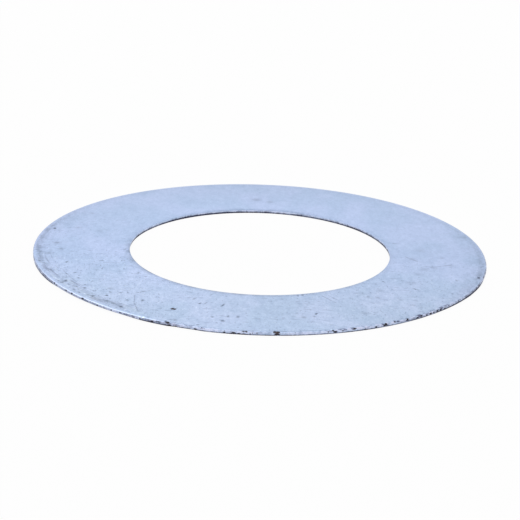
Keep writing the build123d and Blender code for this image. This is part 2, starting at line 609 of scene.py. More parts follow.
CRUSTED = 0.8  # pits darker than this have rust in them, and the others are only shaded
CRUST_END = 1.6  # where that rust ends, in halves of the pit's width
PIT_STRETCH = 1.9  # pits are a little longer along the grain of the sheet
PIT_LUMPS = 0.2
PIT_LUMPINESS = 0.3
PIT_REACH = 1.4  # in pit widths from the pit's middle
PIT_SHADE = 1.6  # a pit is shaded this many times its darkness
PIT_SHADE_LIMIT = 1.15
SHADE_START = 2.0  # above 1, so that the shade is full in the middle of the pit
SHADE_FALL = 2.2
HALO = 0.15  # how much brighter the steel is just outside a pit
HALO_PLACE = 0.85  # in pit widths from the pit's middle
HALO_WIDTH = 0.25

for at, distance, width, depth, darkness, brownness in PITS:
    offset = (points[:, :2] - on_ring(at, distance)) / (1.0, PIT_STRETCH)
    apart = np.linalg.norm(offset, axis=1)
    near = np.nonzero((apart < PIT_REACH * width) & upper)[0]
    apart = apart[near] * (1 + PIT_LUMPINESS * lumps(points[near], PIT_LUMPS))
    ball = ball_radius(width, depth)
    bottom = THICK - depth + ball - np.sqrt(np.maximum(ball**2 - apart**2, 0))
    inside = apart < width / 2
    points[near[inside], 2] = np.minimum(points[near[inside], 2], bottom[inside])
    if darkness > CRUSTED:
        stain(near, darkness * np.clip(CRUST_END - 2 * apart / width, 0, 1), brownness)
    shade = PIT_SHADE * darkness * np.clip(SHADE_START - SHADE_FALL * apart / width, 0, 1)
    shade = np.maximum(paint["smudge_and_painted_light"][near], np.minimum(shade, PIT_SHADE_LIMIT))
    paint["smudge_and_painted_light"][near] = shade - HALO * hump(apart, HALO_PLACE * width, HALO_WIDTH * width)
print("points pressed down by pits:", np.count_nonzero(points[:, 2] < height))

# %% Paint the smudges and the painted glints
# Smudges darken the steel; a darkness below 0 paints a glint, a bright spot of painted light.
for at, distance, width, darkness in SMUDGES_AND_GLINTS:
    apart = np.linalg.norm(points[:, :2] - on_ring(at, distance), axis=1)
    shade = darkness * hump(apart, 0, width / 2) * upper
    darker = np.maximum(shade - np.maximum(paint["smudge_and_painted_light"], 0), 0)
    paint["smudge_and_painted_light"] += np.where(shade > 0, darker, shade)
print(f"smudges from {paint['smudge_and_painted_light'].min():.2f} to {paint['smudge_and_painted_light'].max():.2f}")

# %% [markdown]
# ## How wear goes round the ring
#
# Slower changes are given as a few (angle, amount) pairs, and the amount glides from one to the next. The
# lists below say where the shape has changed:
#
# - On the near left the edge has been rubbed: it is rolled over further there, and a highlight is painted
#   on it. Below it, and a little further on, the wall's lower corner is rounded off.
# - To the right the rim has been pushed out a little.
# - In other places, and along the back of the bore, a small burr stands out from the wall. A burr is the
#   lip that a cutting stroke leaves at the lower edge.

# %% Where the shape has changed
RUBBED_AND_HIGHLIGHT = [(0, 0), (193, 0), (206, 0.8), (214, 1), (238, 1), (244, 0.5), (250, 0), (360, 0)]
UNDER = [
    (0, 0), (209, 0), (214, 1), (238, 1), (242, 0.2), (249, 0), (251, 0.6), (255, 0.6), (258, 0), (360, 0),
]
BULGED = [(0, 0), (318, 0), (329, 0.6), (332, 1), (339, 1), (347, 0), (360, 0)]
BURRED = [
    (0, 0.5), (20, 0), (188, 0), (195, 0.8), (203, 0.8), (207, 0.6), (211, 0), (318, 0), (330, 0.6),
    (340, 1), (350, 1), (360, 0.5),
]
BORE_BURRED = [
    (0, 0.3), (25, 1), (60, 0.6), (90, 0.2), (115, 0.6), (150, 1), (165, 0.3), (178, 0), (340, 0), (360, 0.3),
]


def round_ring(pairs, angles):
    """The amount at each angle, from (angle, amount) pairs."""
    return np.interp(angles % 360, [p[0] for p in pairs], [p[1] for p in pairs])


def ramp(value, start, span):
    """0 before start, 1 after start + span, and an even rise between. A span below 0 runs downwards."""
    return np.clip((value - start) / span, 0, 1)


print("rubbed at 220 degrees:", round_ring(RUBBED_AND_HIGHLIGHT, 220))

# %% [markdown]
# ## Bending and roughening
#
# Each change moves the points up, down or along their radius, by an amount that fades out away from the
# edge. A rubbed edge goes down, the more the nearer it is to the rim, and the wall below shrinks to match.
# The torn lower part of each wall is roughened by noise.
#
# A sheet this thin is never dead flat. The near left of this ring stands about a tenth of a millimetre off
# the table.

# %% Lower the rubbed edge, and round off the corner under it
RUB_WIDTH = 0.15
RUB_DEPTH = 0.055
RUB_CURVE = 1.1
RUB_LUMPS = 0.9
RUB_LUMPINESS = 0.25
SHINE_START = RIM - RUB_WIDTH - 0.03
SHINE_FADE = 0.08
ROUNDED_UNDER = 0.09
WALL_DEPTH = 0.3  # points less than this far in from a wall take part in what happens to the wall

# The rubbed edge also gets a painted highlight in its colour: shiny is where that highlight is painted.
shiny = upper * ramp(radius, SHINE_START, SHINE_FADE)
paint["rubbed_and_highlight"] = round_ring(RUBBED_AND_HIGHLIGHT, angle) * shiny
slope = ramp(radius, RIM - RUB_WIDTH, RUB_WIDTH) ** RUB_CURVE
rubbed_down = RUB_DEPTH * round_ring(RUBBED_AND_HIGHLIGHT, angle) * slope * (1 + RUB_LUMPINESS * lumps(points, RUB_LUMPS))
points[:, 2] -= rubbed_down * ramp(height, 0, THICK - RIM_ROLL["depth"])

by_rim = radius > RIM - WALL_DEPTH
by_bore = radius < BORE + WALL_DEPTH
low_down = (1 - ramp(height, 0, THICK - LAND_DEPTH)) * by_rim
points[:, 2] += ROUNDED_UNDER * low_down * round_ring(UNDER, angle)
print(f"rubbed down by up to {rubbed_down.max():.3f} mm")

# %% Roughen the torn walls, and move the walls in and out
TEAR_ROUGHNESS = 0.010
TEAR_LUMPS = 0.15
TEAR_INWARD = 0.5  # the tear goes further in than out
BULGE = 0.09
BURR_TOP = THICK - 0.08  # burrs begin here and grow downwards
BURR = 0.07
BURR_FADE = 0.1
BORE_BURR = 0.07
BORE_BURR_FADE = 0.2
GIVE_WIDTH = 1.0  # the face gives way to bites and bulges over this width

tearing = (height < THICK - LAND_DEPTH) & (height > 0.5 * LOWER_BREAK)
ragged = np.zeros(len(points))
for wall, way in [(radius > RIM - 2 * TEAR_RECESS, 1.0), (radius < BORE + 2 * TEAR_RECESS, -1.0)]:
    torn = np.nonzero(tearing & wall)[0]
    ragged[torn] = way * TEAR_ROUGHNESS * (lumps(points[torn], TEAR_LUMPS) + TEAR_INWARD)
give = ramp(radius, RIM - GIVE_WIDTH, GIVE_WIDTH)
bulge = BULGE * give * round_ring(BULGED, angle)
burr = BURR * ramp(height, BURR_TOP, -BURR_FADE) * by_rim * round_ring(BURRED, angle)
bore_burr = BORE_BURR * ramp(height, BURR_TOP, -BORE_BURR_FADE) * by_bore
bore_burr = bore_burr * round_ring(BORE_BURRED, angle)
new_radius = radius - sunk * give + bulge - ragged + burr - bore_burr
points[:, :2] *= (new_radius / radius)[:, None]
print(f"the walls now lie between {new_radius.min():.3f} and {new_radius.max():.3f} mm from the axis")

# %% Lift the near left
LIFT = 0.11
LIFT_MIDDLE = 222
LIFT_SPREAD = 20

outward = ramp(radius, BORE, RIM - BORE)
points[:, 2] += LIFT * outward * hump(angle, LIFT_MIDDLE, LIFT_SPREAD)
print(f"highest point at {points[:, 2].max():.3f} mm")

# %% [markdown]
# ## Painting the slow changes
#
# Dirt is a soft band that follows the rim. Painted shade makes a narrower band round the bore, darkest at
# the back, and a thin dark line just inside the rim in front. The bore's edge itself has a dark lip of
# painted shade, which noise breaks up. All of these follow the ring, so they are worked out from each
# point's angle and its distance from the axis.

# %% Paint the dirt and the painted shade
DIRT_BAND = [
    (0, 0.6), (12, 0.5), (30, 0.2), (60, 0.1), (110, 0.1), (145, 0.2), (162, 0.7), (172, 1.0), (192, 0.9),
    (203, 0.6), (222, 0.6), (238, 0.3), (250, 0.1), (320, 0.15), (335, 0.4), (345, 0.9), (352, 0.8),
    (360, 0.6),
]
BAND_PLACE = [
    (0, 25.45), (60, 25.2), (150, 25.4), (175, 25.45), (190, 25.3), (200, 25.1), (210, 24.8), (225, 24.5),
    (240, 24.6), (260, 25.4), (340, 25.55), (360, 25.45),
]
# where the thin line of painted shade and the painted bright strip outside it lie
SHADE_LINE_AND_SHINE = [
    (0, 0), (238, 0), (246, 0.6), (262, 0.7), (268, 1), (273, 0.8), (276, 1.4), (280, 1.2), (286, 0.6),
    (292, 0), (360, 0),
]
# painted shade round the bore, darkest at the back
BORE_BAND_SHADE = [
    (0, 0.05), (40, 0.1), (55, 0.25), (70, 0.45), (90, 0.5), (110, 0.4), (125, 0.2), (140, 0.05), (180, 0.1),
    (260, 0.2), (360, 0.05),
]
BAND_WIDTH = 0.42
VEIL = 0.28  # a thin haze inside the band
VEIL_ABOVE = 0.35  # only where the band is stronger than this
VEIL_START = 23.3
VEIL_WIDTH = 2.0
LINE_DARK = 0.9
LINE_PLACE = 25.72
LINE_WIDTH = 0.07
BORE_BAND_SHADE_WIDTH = 0.75
BORE_BAND_SHADE_CURVE = 1.5

# the rim's band and its veil are dirt; the band round the bore and the thin line are painted shade
band = hump(radius, round_ring(BAND_PLACE, angle), BAND_WIDTH) * round_ring(DIRT_BAND, angle)
veil = VEIL * ramp(radius, VEIL_START, VEIL_WIDTH) * (round_ring(DIRT_BAND, angle) > VEIL_ABOVE)
bore_band = (1 - ramp(radius, BORE, BORE_BAND_SHADE_WIDTH)) ** BORE_BAND_SHADE_CURVE * round_ring(BORE_BAND_SHADE, angle)
shade_line = LINE_DARK * hump(radius, LINE_PLACE, LINE_WIDTH) * round_ring(SHADE_LINE_AND_SHINE, angle)
paint["dirt_and_shade"] = np.maximum.reduce([band, veil, bore_band, shade_line]) * upper
print(f"dirt: {np.mean(paint['dirt_and_shade'][upper]):.2f} on average over the face's points")

# %% Paint the bore's dark lip of painted shade
LIP_DARK = [
    (0, 0.3), (30, 0.1), (60, 0.2), (75, 0.4), (95, 0.4), (112, 0.3), (130, 0.2), (150, 0.1), (185, 1),
    (205, 1.3), (220, 1.1), (262, 1), (285, 0.6), (315, 0.6), (360, 0.3),
]
LIP_SHADE = 0.40
LIP_WIDTH = 0.26
LIP_FADE = 0.10
LIP_LUMPS = 0.9
LIP_LUMPINESS = 1.2

# the lip is painted shade along the bore's edge, kept with the smudges
lip = LIP_SHADE * ramp(radius, BORE + LIP_WIDTH, -LIP_FADE) * round_ring(LIP_DARK, angle) * upper
lip[lip > 0] *= 1 + LIP_LUMPINESS * lumps(points[lip > 0], LIP_LUMPS)
paint["smudge_and_painted_light"] = np.where(lip > 0, np.maximum(paint["smudge_and_painted_light"], lip), paint["smudge_and_painted_light"])
print(f"lip: up to {lip.max():.2f}")

# %% [markdown]
# Three more amounts say how the face has worn. Marked is how scratched and flecked it is, arced is where
# arcs were scraped into it, and nicked is how far the rim's corner has been knocked about.
#
# Sheen is painted reflection: how brightly the steel mirrors its surroundings, painted into its colour. It
# drifts round the ring, and it differs between rim and bore as a slight bow across the sheet would make it;
# the mesh itself is not bowed. Just outside the thin line of painted shade, a bright strip is painted too.

# %% Paint the worn places
MARKED = [
    (0, 0.2), (40, 0.1), (130, 0.08), (165, 0.35), (180, 0.4), (190, 0.7), (205, 0.95), (225, 0.95),
    (245, 0.7), (265, 0.52), (285, 0.52), (300, 0.62), (322, 0.6), (340, 0.45), (360, 0.2),
]
ARCED = [(0, 0), (186, 0), (194, 0.8), (205, 1.1), (225, 1.1), (236, 0.8), (245, 0.4), (256, 0), (360, 0)]
NICKED = [
    (0, 0), (240, 0), (246, 0.6), (262, 0.4), (284, 0.3), (290, 0.8), (300, 1), (318, 1), (325, 0.4),
    (334, 0.1), (342, 0), (360, 0),
]
MARKED_BELOW = 0.3  # how marked the walls and the lower face are, all round
ARCS_START = 23.2
ARCS_FADE = 0.8
ARCS_STOP = RIM - 0.3
ARCS_STOP_FADE = 0.2
CORNER_WIDTH = 0.32
CORNER_WIDTH_FADE = 0.12
CORNER_DROP = 0.20
CORNER_DROP_FADE = 0.08

paint["marked"] = np.where(upper, round_ring(MARKED, angle), MARKED_BELOW)
outer_face = ramp(radius, ARCS_START, ARCS_FADE) * ramp(radius, ARCS_STOP, -ARCS_STOP_FADE)
paint["arced"] = outer_face * round_ring(ARCED, angle) * upper
at_corner = ramp(radius, RIM - CORNER_WIDTH, CORNER_WIDTH_FADE)
at_corner = at_corner * ramp(height, THICK - CORNER_DROP, CORNER_DROP_FADE)
paint["nicked"] = at_corner * round_ring(NICKED, angle)
print("points at the knocked corner:", np.count_nonzero(paint["nicked"]))

# %% Paint the sheen, a painted reflection
# painted reflection: how brightly the steel seems to mirror, painted by angle
SHEEN = [
    (0, 0.975), (60, 0.995), (90, 0.97), (125, 0.99), (165, 1.01), (205, 1.05), (235, 1.06), (262, 1.045),
    (285, 1.03), (305, 1.01), (335, 1.0), (360, 0.975),
]
# painted reflection that changes from bore to rim as a bowed sheet's would; the mesh is not bowed
BOWED_REFLECTION = [
    (0, 0.2), (60, 0.6), (90, 1), (125, 0.8), (160, 0.4), (200, 0), (250, 0), (262, -0.5), (285, -0.5),
    (300, 0), (360, 0.2),
]
# BOW_REFLECTION is how much brighter the painted reflection makes the bore's side
BOW_REFLECTION = 0.05  # how much brighter the bore's side is where the bow is 1
BOW_MIDDLE = 21.0
BOW_WIDTH = 4.0
STRIP_SHINE = 0.12
STRIP_START = 25.77
STRIP_FADE = 0.06
GLOW = 0.03  # a wide faint glow on the face inside the strip
GLOW_PLACE = 25.2
GLOW_WIDTH = 0.4

# the bright strip and the faint glow are painted highlights near the rim in front
strip = STRIP_SHINE * ramp(radius, STRIP_START, STRIP_FADE) + GLOW * hump(radius, GLOW_PLACE, GLOW_WIDTH)
bow_reflection = BOW_REFLECTION * (BOW_MIDDLE - radius) / BOW_WIDTH * round_ring(BOWED_REFLECTION, angle)
face_sheen = round_ring(SHEEN, angle) + strip * round_ring(SHADE_LINE_AND_SHINE, angle) + bow_reflection
paint["sheen"] = np.where(upper, face_sheen, 1.0)
print(f"sheen from {paint['sheen'].min():.2f} to {paint['sheen'].max():.2f}")

# %% [markdown]
# Oxide and painted shade darken the walls: a little on the smooth land, and more on the torn part. The
# dark is partly real oxide and partly painted shade for the dark surroundings that the walls mirror. The
# tear starts at the land's lower end, and higher up on the near left, where the steel tore early, and on
# the right, where the dark band is partly a painted shadow under the rim. In the bore the wall darkens from
# top to bottom: partly oxide of the torn part, partly painted shade down inside the hole.

# %% Paint the walls: oxide and painted shade
LAND_DARK = [
    (0, 0.35), (150, 0.3), (188, 0.25), (194, 0.35), (206, 0.55), (210, 0.4), (240, 0.35), (244, 0.5),
    (250, 0.4), (256, 0.0), (259, -0.2), (262, -0.3), (266, 0.1), (269, -0.3), (286, -0.3), (294, 0.0),
    (300, 0.2), (312, 0.3), (319, 0.25), (325, 0.3), (330, 0.35), (334, 0.5), (341, 0.5), (350, 0.4),
    (360, 0.35),
]
TEAR_DARK = [
    (0, 0.5), (150, 0.5), (190, 0.4), (197, 0.95), (206, 1.05), (210, 0.85), (240, 0.7), (244, 1.1),
    (250, 1.05), (256, 0.9), (262, 0.75), (266, 0.9), (272, 0.8), (280, 0.7), (290, 0.75), (300, 0.85),
    (308, 0.7), (317, 0.8), (320, 1.1), (324, 1.35), (336, 1.35), (342, 1.0), (348, 0.5), (360, 0.5),
]
TEAR_HIGH = [
    (0, 0), (190, 0), (196, 0.5), (206, 0.5), (212, 0), (318, 0), (329, 0.6), (332, 1), (339, 1), (347, 0),
    (360, 0),
]
BORE_DARK = [
    (0, 1), (45, 0.95), (60, 0.8), (75, 0.75), (90, 0.9), (110, 1.1), (125, 1.15), (136, 1.25), (145, 0.8),
    (156, 0.8), (162, 1.1), (185, 1), (360, 1),
]
TEAR_RISE = 0.11
TEAR_EDGE = 0.05  # the change from land to tear takes this much height
BORE_SHADE = 1.15
BORE_TOP = THICK - 0.09  # the bore's wall is bright above this
BORE_FADE = 0.19
BORE_CURVE = 1.3

# Painted on the walls: oxide together with painted shade, and in the bore painted shade that deepens
# downwards.
tear_top = THICK - LAND_DEPTH + TEAR_RISE * round_ring(TEAR_HIGH, angle)
into_tear = ramp(height, tear_top, -TEAR_EDGE)
on_rim = round_ring(LAND_DARK, angle) * (1 - into_tear) + round_ring(TEAR_DARK, angle) * into_tear
in_bore = BORE_SHADE * round_ring(BORE_DARK, angle) * ramp(height, BORE_TOP, -BORE_FADE) ** BORE_CURVE
paint["oxide_and_shade"] = np.where(radius > (RIM + BORE) / 2, on_rim, in_bore)
print(f"oxide from {paint['oxide_and_shade'].min():.2f} to {paint['oxide_and_shade'].max():.2f}")

# %% [markdown]
# ## The finished mesh
#
# The moved points go back into the net, now in metres, and the net becomes the mesh of an object. What was
# painted is stored on it as attributes, one number per point, for the materials to read. The faces of the
# walls take the second material. All faces are shaded smoothly, except across a sharp edge.

# %% Fill the mesh
SHARP_EDGE = math.radians(50)

for vert, place in zip(net.verts, points * MM, strict=True):
    vert.co = place
zones = np.array([face[zone_of] for face in net.faces])
ring_mesh = bpy.data.meshes.new("shim_ring_worn")
net.to_mesh(ring_mesh)
net.free()
for name, values in paint.items():
    layer = ring_mesh.attributes.new(name, "FLOAT", "POINT")
    layer.data.foreach_set("value", values.astype(np.float32))
is_wall = np.isin(zones, [ZONES.index("rim"), ZONES.index("bore")])
ring_mesh.polygons.foreach_set("material_index", is_wall.astype(np.int32))
ring_mesh.polygons.foreach_set("use_smooth", np.ones(len(zones), dtype=bool))
ring_mesh.set_sharp_from_angle(angle=SHARP_EDGE)
ring = bpy.data.objects.new("shim_ring_worn", ring_mesh)
bpy.context.scene.collection.objects.link(ring)
print("ring faces:", len(ring_mesh.polygons))

# %% [markdown]
# ## Texture map
#
# When the finished ring is exported, its procedural finishes are baked to a picture, and the map says
# where each face lies on it. A ring that is laid out flat wastes the picture's middle. Here each zone is
# cut into four quarters, and each quarter is unrolled into a straight strip as wide as the picture: tall
# strips for the upper face, low ones for the walls and the lower face.

# %% Unroll the zones into strips
STRIP_HEIGHTS = {"upper": 0.134, "rim": 0.040, "lower": 0.044, "bore": 0.018}
STRIP_GAP = 0.003
STRIP_ENDS = 0.002  # what stays free at both ends of a strip

corner_of = np.zeros(len(ring_mesh.loops), dtype=np.int32)
ring_mesh.loops.foreach_get("vertex_index", corner_of)
sides = np.zeros(len(ring_mesh.polygons), dtype=np.int32)
ring_mesh.polygons.foreach_get("loop_total", sides)
face_at = np.repeat(np.arange(len(sides)), sides)
turns = np.radians(angle[corner_of])
middle = np.arctan2(np.bincount(face_at, np.sin(turns)), np.bincount(face_at, np.cos(turns)))
quarter = np.floor((np.degrees(middle) % 360) / 90).astype(int)[face_at]
across = {
    "upper": (radius[corner_of] - BORE) / (RIM - RIM_ROLL["corner"] - BORE),
    "rim": (0.5 * (radius[corner_of] - RIM) - height[corner_of] + THICK) / THICK,
    "lower": (radius[corner_of] - BORE) / (RIM - BORE),
    "bore": height[corner_of] / (THICK - BORE_ROLL["depth"]),
}
uv = np.zeros((len(corner_of), 2))
through = (((angle[corner_of] - 90 * quarter + 45) % 360) - 45) / 90
uv[:, 0] = STRIP_ENDS + (1 - 2 * STRIP_ENDS) * through
base = STRIP_GAP
for zone, strip in STRIP_HEIGHTS.items():
    here = zones[face_at] == ZONES.index(zone)
    v = base + quarter * (strip + STRIP_GAP) + strip * np.clip(across[zone], 0, 1)
    uv[here, 1] = v[here]
    base += 4 * (strip + STRIP_GAP)
layer = ring_mesh.uv_layers.new(name="OFBake")
layer.data.foreach_set("uv", uv.ravel())
print(f"strips fill {base:.3f} of the map's height")

# %% [markdown]
# ## Effects that the finishes share
#
# Face and wall are cut from the same sheet and have rusted together, so these effects are node groups.
# Each is built once, and each material places it with its own values. Lengths are in millimetres.
#
# A few more helpers come first: sums on places and colours, smooth fades, noise of a given size, and the
# start of a group.


# %% Helpers for effects
def vector(tree, operation, a, b=(0.0, 0.0, 0.0), result="Vector"):
    """One sum on two vectors, or on a vector and a number for SCALE."""
    second = {"Scale": b} if operation == "SCALE" else {1: b}
    return add(tree, "VectorMath", {0: a, **second}, operation=operation).outputs[result]


def fade(tree, value, start, end, first=0.0, last=1.0):
    """Goes smoothly from first to last while value goes from start to end."""
    sockets = {"Value": value, "From Min": start, "From Max": end, "To Min": first, "To Max": last}
    return add(tree, "MapRange", sockets, interpolation_type="SMOOTHSTEP").outputs["Result"]


def mix(tree, amount, first, second, kind="MIX"):
    """Mixes two colours."""
    made = add(tree, "Mix", {0: amount, 6: first, 7: second}, data_type="RGBA", blend_type=kind)
    return made.outputs[2]


def cloud(tree, place, size, detail=2.0, rough=0.5):
    """Noise around 0.5, whose biggest patches are about this size: (across, along, up), in millimetres."""
    moved = vector(tree, "DIVIDE", place, size)
    sockets = {"Vector": moved, "Scale": 1.0, "Detail": detail, "Roughness": rough}
    return add(tree, "TexNoise", sockets).outputs[0]


def swing(tree, noise_value, amount):
    """Noise around 0.5 as a change around 0, times an amount."""
    return calc(tree, "MULTIPLY", calc(tree, "SUBTRACT", noise_value, 0.5), amount)


def start_group(name, takes, gives):
    """A node group with these inputs and outputs. Returns the tree, its input values and its results."""
    tree = bpy.data.node_groups.new(name, "ShaderNodeTree")
    for label, value in takes.items():
        size = 1 if isinstance(value, float) else len(value)
        kind = {1: "NodeSocketFloat", 3: "NodeSocketVector", 4: "NodeSocketColor"}[size]
        tree.interface.new_socket(label, in_out="INPUT", socket_type=kind).default_value = value
    for label, kind in gives.items():
        tree.interface.new_socket(label, in_out="OUTPUT", socket_type="NodeSocket" + kind)
    return tree, add(tree, "NodeGroupInput").outputs, add(tree, "NodeGroupOutput").inputs


NOWHERE = (0.0, 0.0, 0.0)
GREY = (0.5, 0.5, 0.5, 1.0)

# %% [markdown]
# Rolled steel has no even colour. Its reflection drifts between lilac and cyan over some millimetres, and
# it is mottled at every scale below. Fractal noise with strong fine layers has that look. It is a little
# longer along Y, the way that this sheet was rolled.

# %% Group: tone of the sheet
DRIFT_SIZE = (4.0, 6.5, 4.0)
LILAC = (1.050, 1.025, 1.030, 1.0)
CYAN = (0.935, 0.965, 0.965, 1.0)
MOTTLE_SIZE = (0.6, 1.1, 0.6)
MOTTLE_TINT = (1.25, 1.0, 0.8)  # red varies more than blue

tree, takes, gives = start_group(
    "Sheet tone",
    {"Place": NOWHERE, "Steel": GREY, "Mottling": 1.0},
    {"Color": "Color", "Height": "Float"},
)
drift = fade(tree, cloud(tree, takes["Place"], DRIFT_SIZE), 0.32, 0.68)
tint = mix(tree, drift, LILAC, CYAN)
tinted = mix(tree, 1.0, takes["Steel"], tint, kind="MULTIPLY")
mottle = cloud(tree, takes["Place"], MOTTLE_SIZE, detail=3.0, rough=0.95)
change = vector(tree, "SCALE", MOTTLE_TINT, swing(tree, mottle, takes["Mottling"]))
change = vector(tree, "ADD", change, (1.0, 1.0, 1.0))
tree.links.new(vector(tree, "MULTIPLY", tinted, change), gives["Color"])
tree.links.new(mottle, gives["Height"])
print("nodes for the sheet's tone:", len(tree.nodes))

# %% [markdown]
# Flecks are the specks left where dirt or damp has touched the steel. Noise above a high level gives
# scattered specks, and a higher level gives fewer and smaller ones.

# %% Group: flecks
tree, takes, gives = start_group(
    "Flecks",
    {"Place": NOWHERE, "Size": (1.0, 1.0, 1.0), "Level": 0.6, "Softness": 0.05},
    {"Mask": "Float"},
)
speckle = cloud(tree, takes["Place"], takes["Size"], detail=1.5)
top = calc(tree, "ADD", takes["Level"], takes["Softness"])
tree.links.new(fade(tree, speckle, takes["Level"], top), gives["Mask"])
print("nodes for flecks:", len(tree.nodes))

# %% [markdown]
# Anything that turned against the ring has left arcs round a centre of its own. This group gives places
# in a frame that is bent round such a centre: two numbers run along the arc and the third across it.
# Noise that is stretched along the arc then makes curved streaks.

# %% Group: place round a centre
tree, takes, gives = start_group("Round a centre", {"Place": NOWHERE, "Centre": NOWHERE}, {"Place": "Vector"})
flat = vector(tree, "MULTIPLY", vector(tree, "SUBTRACT", takes["Place"], takes["Centre"]), (1.0, 1.0, 0.0))
way = vector(tree, "SCALE", vector(tree, "NORMALIZE", flat), RIM)
across_arc = vector(tree, "LENGTH", flat, result="Value")
lift_up = add(tree, "CombineXYZ", {"Z": across_arc}).outputs[0]
tree.links.new(vector(tree, "ADD", way, lift_up), gives["Place"])
print("nodes for a place round a centre:", len(tree.nodes))

# %% [markdown]
# Where the rim's corner has been knocked, dark dents and bright bare spots alternate. Both come from one
# noise: its high parts are dents and its low parts are bare. How knocked the corner is, is painted on the
# mesh.

# %% Group: knocks
DENT_SIZE = (0.60, 0.60, 0.34)
DENT_TINT = (0.30, 0.28, 0.35, 1.0)
BARE_STEEL = (0.62, 0.66, 0.86, 1.0)

tree, takes, gives = start_group(
    "Knocks",
    {"Place": NOWHERE, "Color": GREY, "Amount": 0.0},
    {"Color": "Color"},
)
dents = cloud(tree, takes["Place"], DENT_SIZE, detail=3.0)
dark = calc(tree, "MULTIPLY", fade(tree, dents, 0.53, 0.60), takes["Amount"])
pale = calc(tree, "MULTIPLY", fade(tree, dents, 0.47, 0.40), takes["Amount"])
knocked = mix(tree, dark, takes["Color"], DENT_TINT, kind="MULTIPLY")
tree.links.new(mix(tree, pale, knocked, BARE_STEEL), gives["Color"])
print("nodes for knocks:", len(tree.nodes))

# %% [markdown]
# A single scratch runs from one point to another. A dot product finds how far along its line a place lies,
# and from that its distance from the line. Noise makes the scratch waver and fade.

# %% Group: single scratch
tree, takes, gives = start_group(
    "Single scratch",
    {"Place": NOWHERE, "From": NOWHERE, "To": (1.0, 0.0, 0.0), "Half width": 0.1},
    {"Mask": "Float"},
)
flat = vector(tree, "MULTIPLY", takes["Place"], (1.0, 1.0, 0.0))
whole = vector(tree, "SUBTRACT", takes["To"], takes["From"])
part = vector(tree, "SUBTRACT", flat, takes["From"])
along = vector(tree, "DOT_PRODUCT", part, whole, result="Value")
square = vector(tree, "DOT_PRODUCT", whole, whole, result="Value")
share = add(tree, "Clamp", {"Value": calc(tree, "DIVIDE", along, square)}).outputs[0]
nearest = vector(tree, "SCALE", whole, share)
off = vector(tree, "LENGTH", vector(tree, "SUBTRACT", part, nearest), result="Value")
waver = cloud(tree, takes["Place"], (1.2, 1.2, 1.2))
off = calc(tree, "ADD", off, swing(tree, waver, 0.25))
near_line = fade(tree, calc(tree, "ABSOLUTE", off), takes["Half width"], 0.0)
tree.links.new(calc(tree, "MULTIPLY", near_line, fade(tree, waver, 0.3, 0.55)), gives["Mask"])
print("nodes for a scratch:", len(tree.nodes))

# %% [markdown]
# Rust starts black and turns brown where it is older. Its edge is crumbly, so the painted stain is broken
# up by fine noise before it becomes a mask.

# %% Group: rust
CRUMB_SIZE = (0.16, 0.2, 0.16)
CRUMBLING = 0.9
BLACK_RUST = (0.022, 0.020, 0.034, 1.0)
BROWN_RUST = (0.110, 0.055, 0.038, 1.0)

tree, takes, gives = start_group(
    "Rust",
    {"Place": NOWHERE, "Color": GREY, "Stain": 0.0, "Brown": 0.0},
    {"Color": "Color", "Mask": "Float"},
)
crumbs = cloud(tree, takes["Place"], CRUMB_SIZE, detail=3.0, rough=0.6)
broken = calc(tree, "ADD", takes["Stain"], swing(tree, crumbs, CRUMBLING))
mask = fade(tree, broken, 0.30, 0.70)
rusty = calc(tree, "MULTIPLY", takes["Brown"], fade(tree, crumbs, 0.40, 0.58))
dark = mix(tree, rusty, BLACK_RUST, BROWN_RUST)
tree.links.new(mix(tree, mask, takes["Color"], dark), gives["Color"])
tree.links.new(mask, gives["Mask"])
print("nodes for rust:", len(tree.nodes))

# %% [markdown]
# ## Bright sheet
#
# The finish of both faces: bright, slightly rough steel. It is built in layers, each of which changes the
# colour of the one before, as dirt and wear do on the real sheet.
#
# The first layers are soft: the tone of the sheet, the painted sheen, the dirt band with the painted shade,
# and the smudges with painted shade and glints.


# %% Helpers for materials
def start_material(name):
    """An empty material. Returns it, its tree, and the place on the ring in millimetres."""
    material = bpy.data.materials.new(name)
    material.use_nodes = True
    tree = material.node_tree
    tree.nodes.clear()
    place = vector(tree, "SCALE", add(tree, "TexCoord").outputs["Object"], 1.0 / MM)
    return material, tree, place


def use(tree, name, sockets):
    """Places a node group and returns its outputs."""
    return add(tree, "Group", sockets, node_tree=bpy.data.node_groups[name]).outputs


def painted(tree, name):
    """A number that is painted on the mesh's points."""
    return add(tree, "Attribute", attribute_name=name).outputs["Fac"]


def darken(tree, colour, amount, factor):
    """Multiplies a colour by a darker or brighter one, where amount is 1."""
    return mix(tree, amount, colour, factor, kind="MULTIPLY")


# %% Material of the faces: tone, painted sheen, dirt, smudges, painted shade and glints
STEEL = (0.425, 0.545, 0.800, 1.0)
GRAIN_DEPTH = 8.0  # the noise is squeezed by this much from face to face of the thin sheet
MOTTLING = 0.42
MOTTLING_MARKED = 0.44  # what is added to it where the face is marked most
NEAR_TINT = (1.045, 1.020, 0.960, 1.0)  # the near side is a little warmer
# the tint of dirt and of painted shade
NEAR_SIDE = -22.0
DIRT_AND_SHADE_TINT = (0.70, 0.69, 0.68, 1.0)
# The same loss applies to the painted shade in pits and at the bore's lip; painted glints are below 0, so
# they add.
SMUDGE_AND_PAINTED_LIGHT_LOSS = (-0.70, -0.67, -0.62)  # what a smudge of 1 takes from red, green and blue

face_finish, tree, place = start_material("bright_sheet")
deep = vector(tree, "MULTIPLY", place, (1.0, 1.0, GRAIN_DEPTH))
marked = painted(tree, "marked")
mottling = calc(tree, "ADD", MOTTLING, calc(tree, "MULTIPLY", marked, MOTTLING_MARKED))
tone = use(tree, "Sheet tone", {"Place": deep, "Steel": STEEL, "Mottling": mottling})
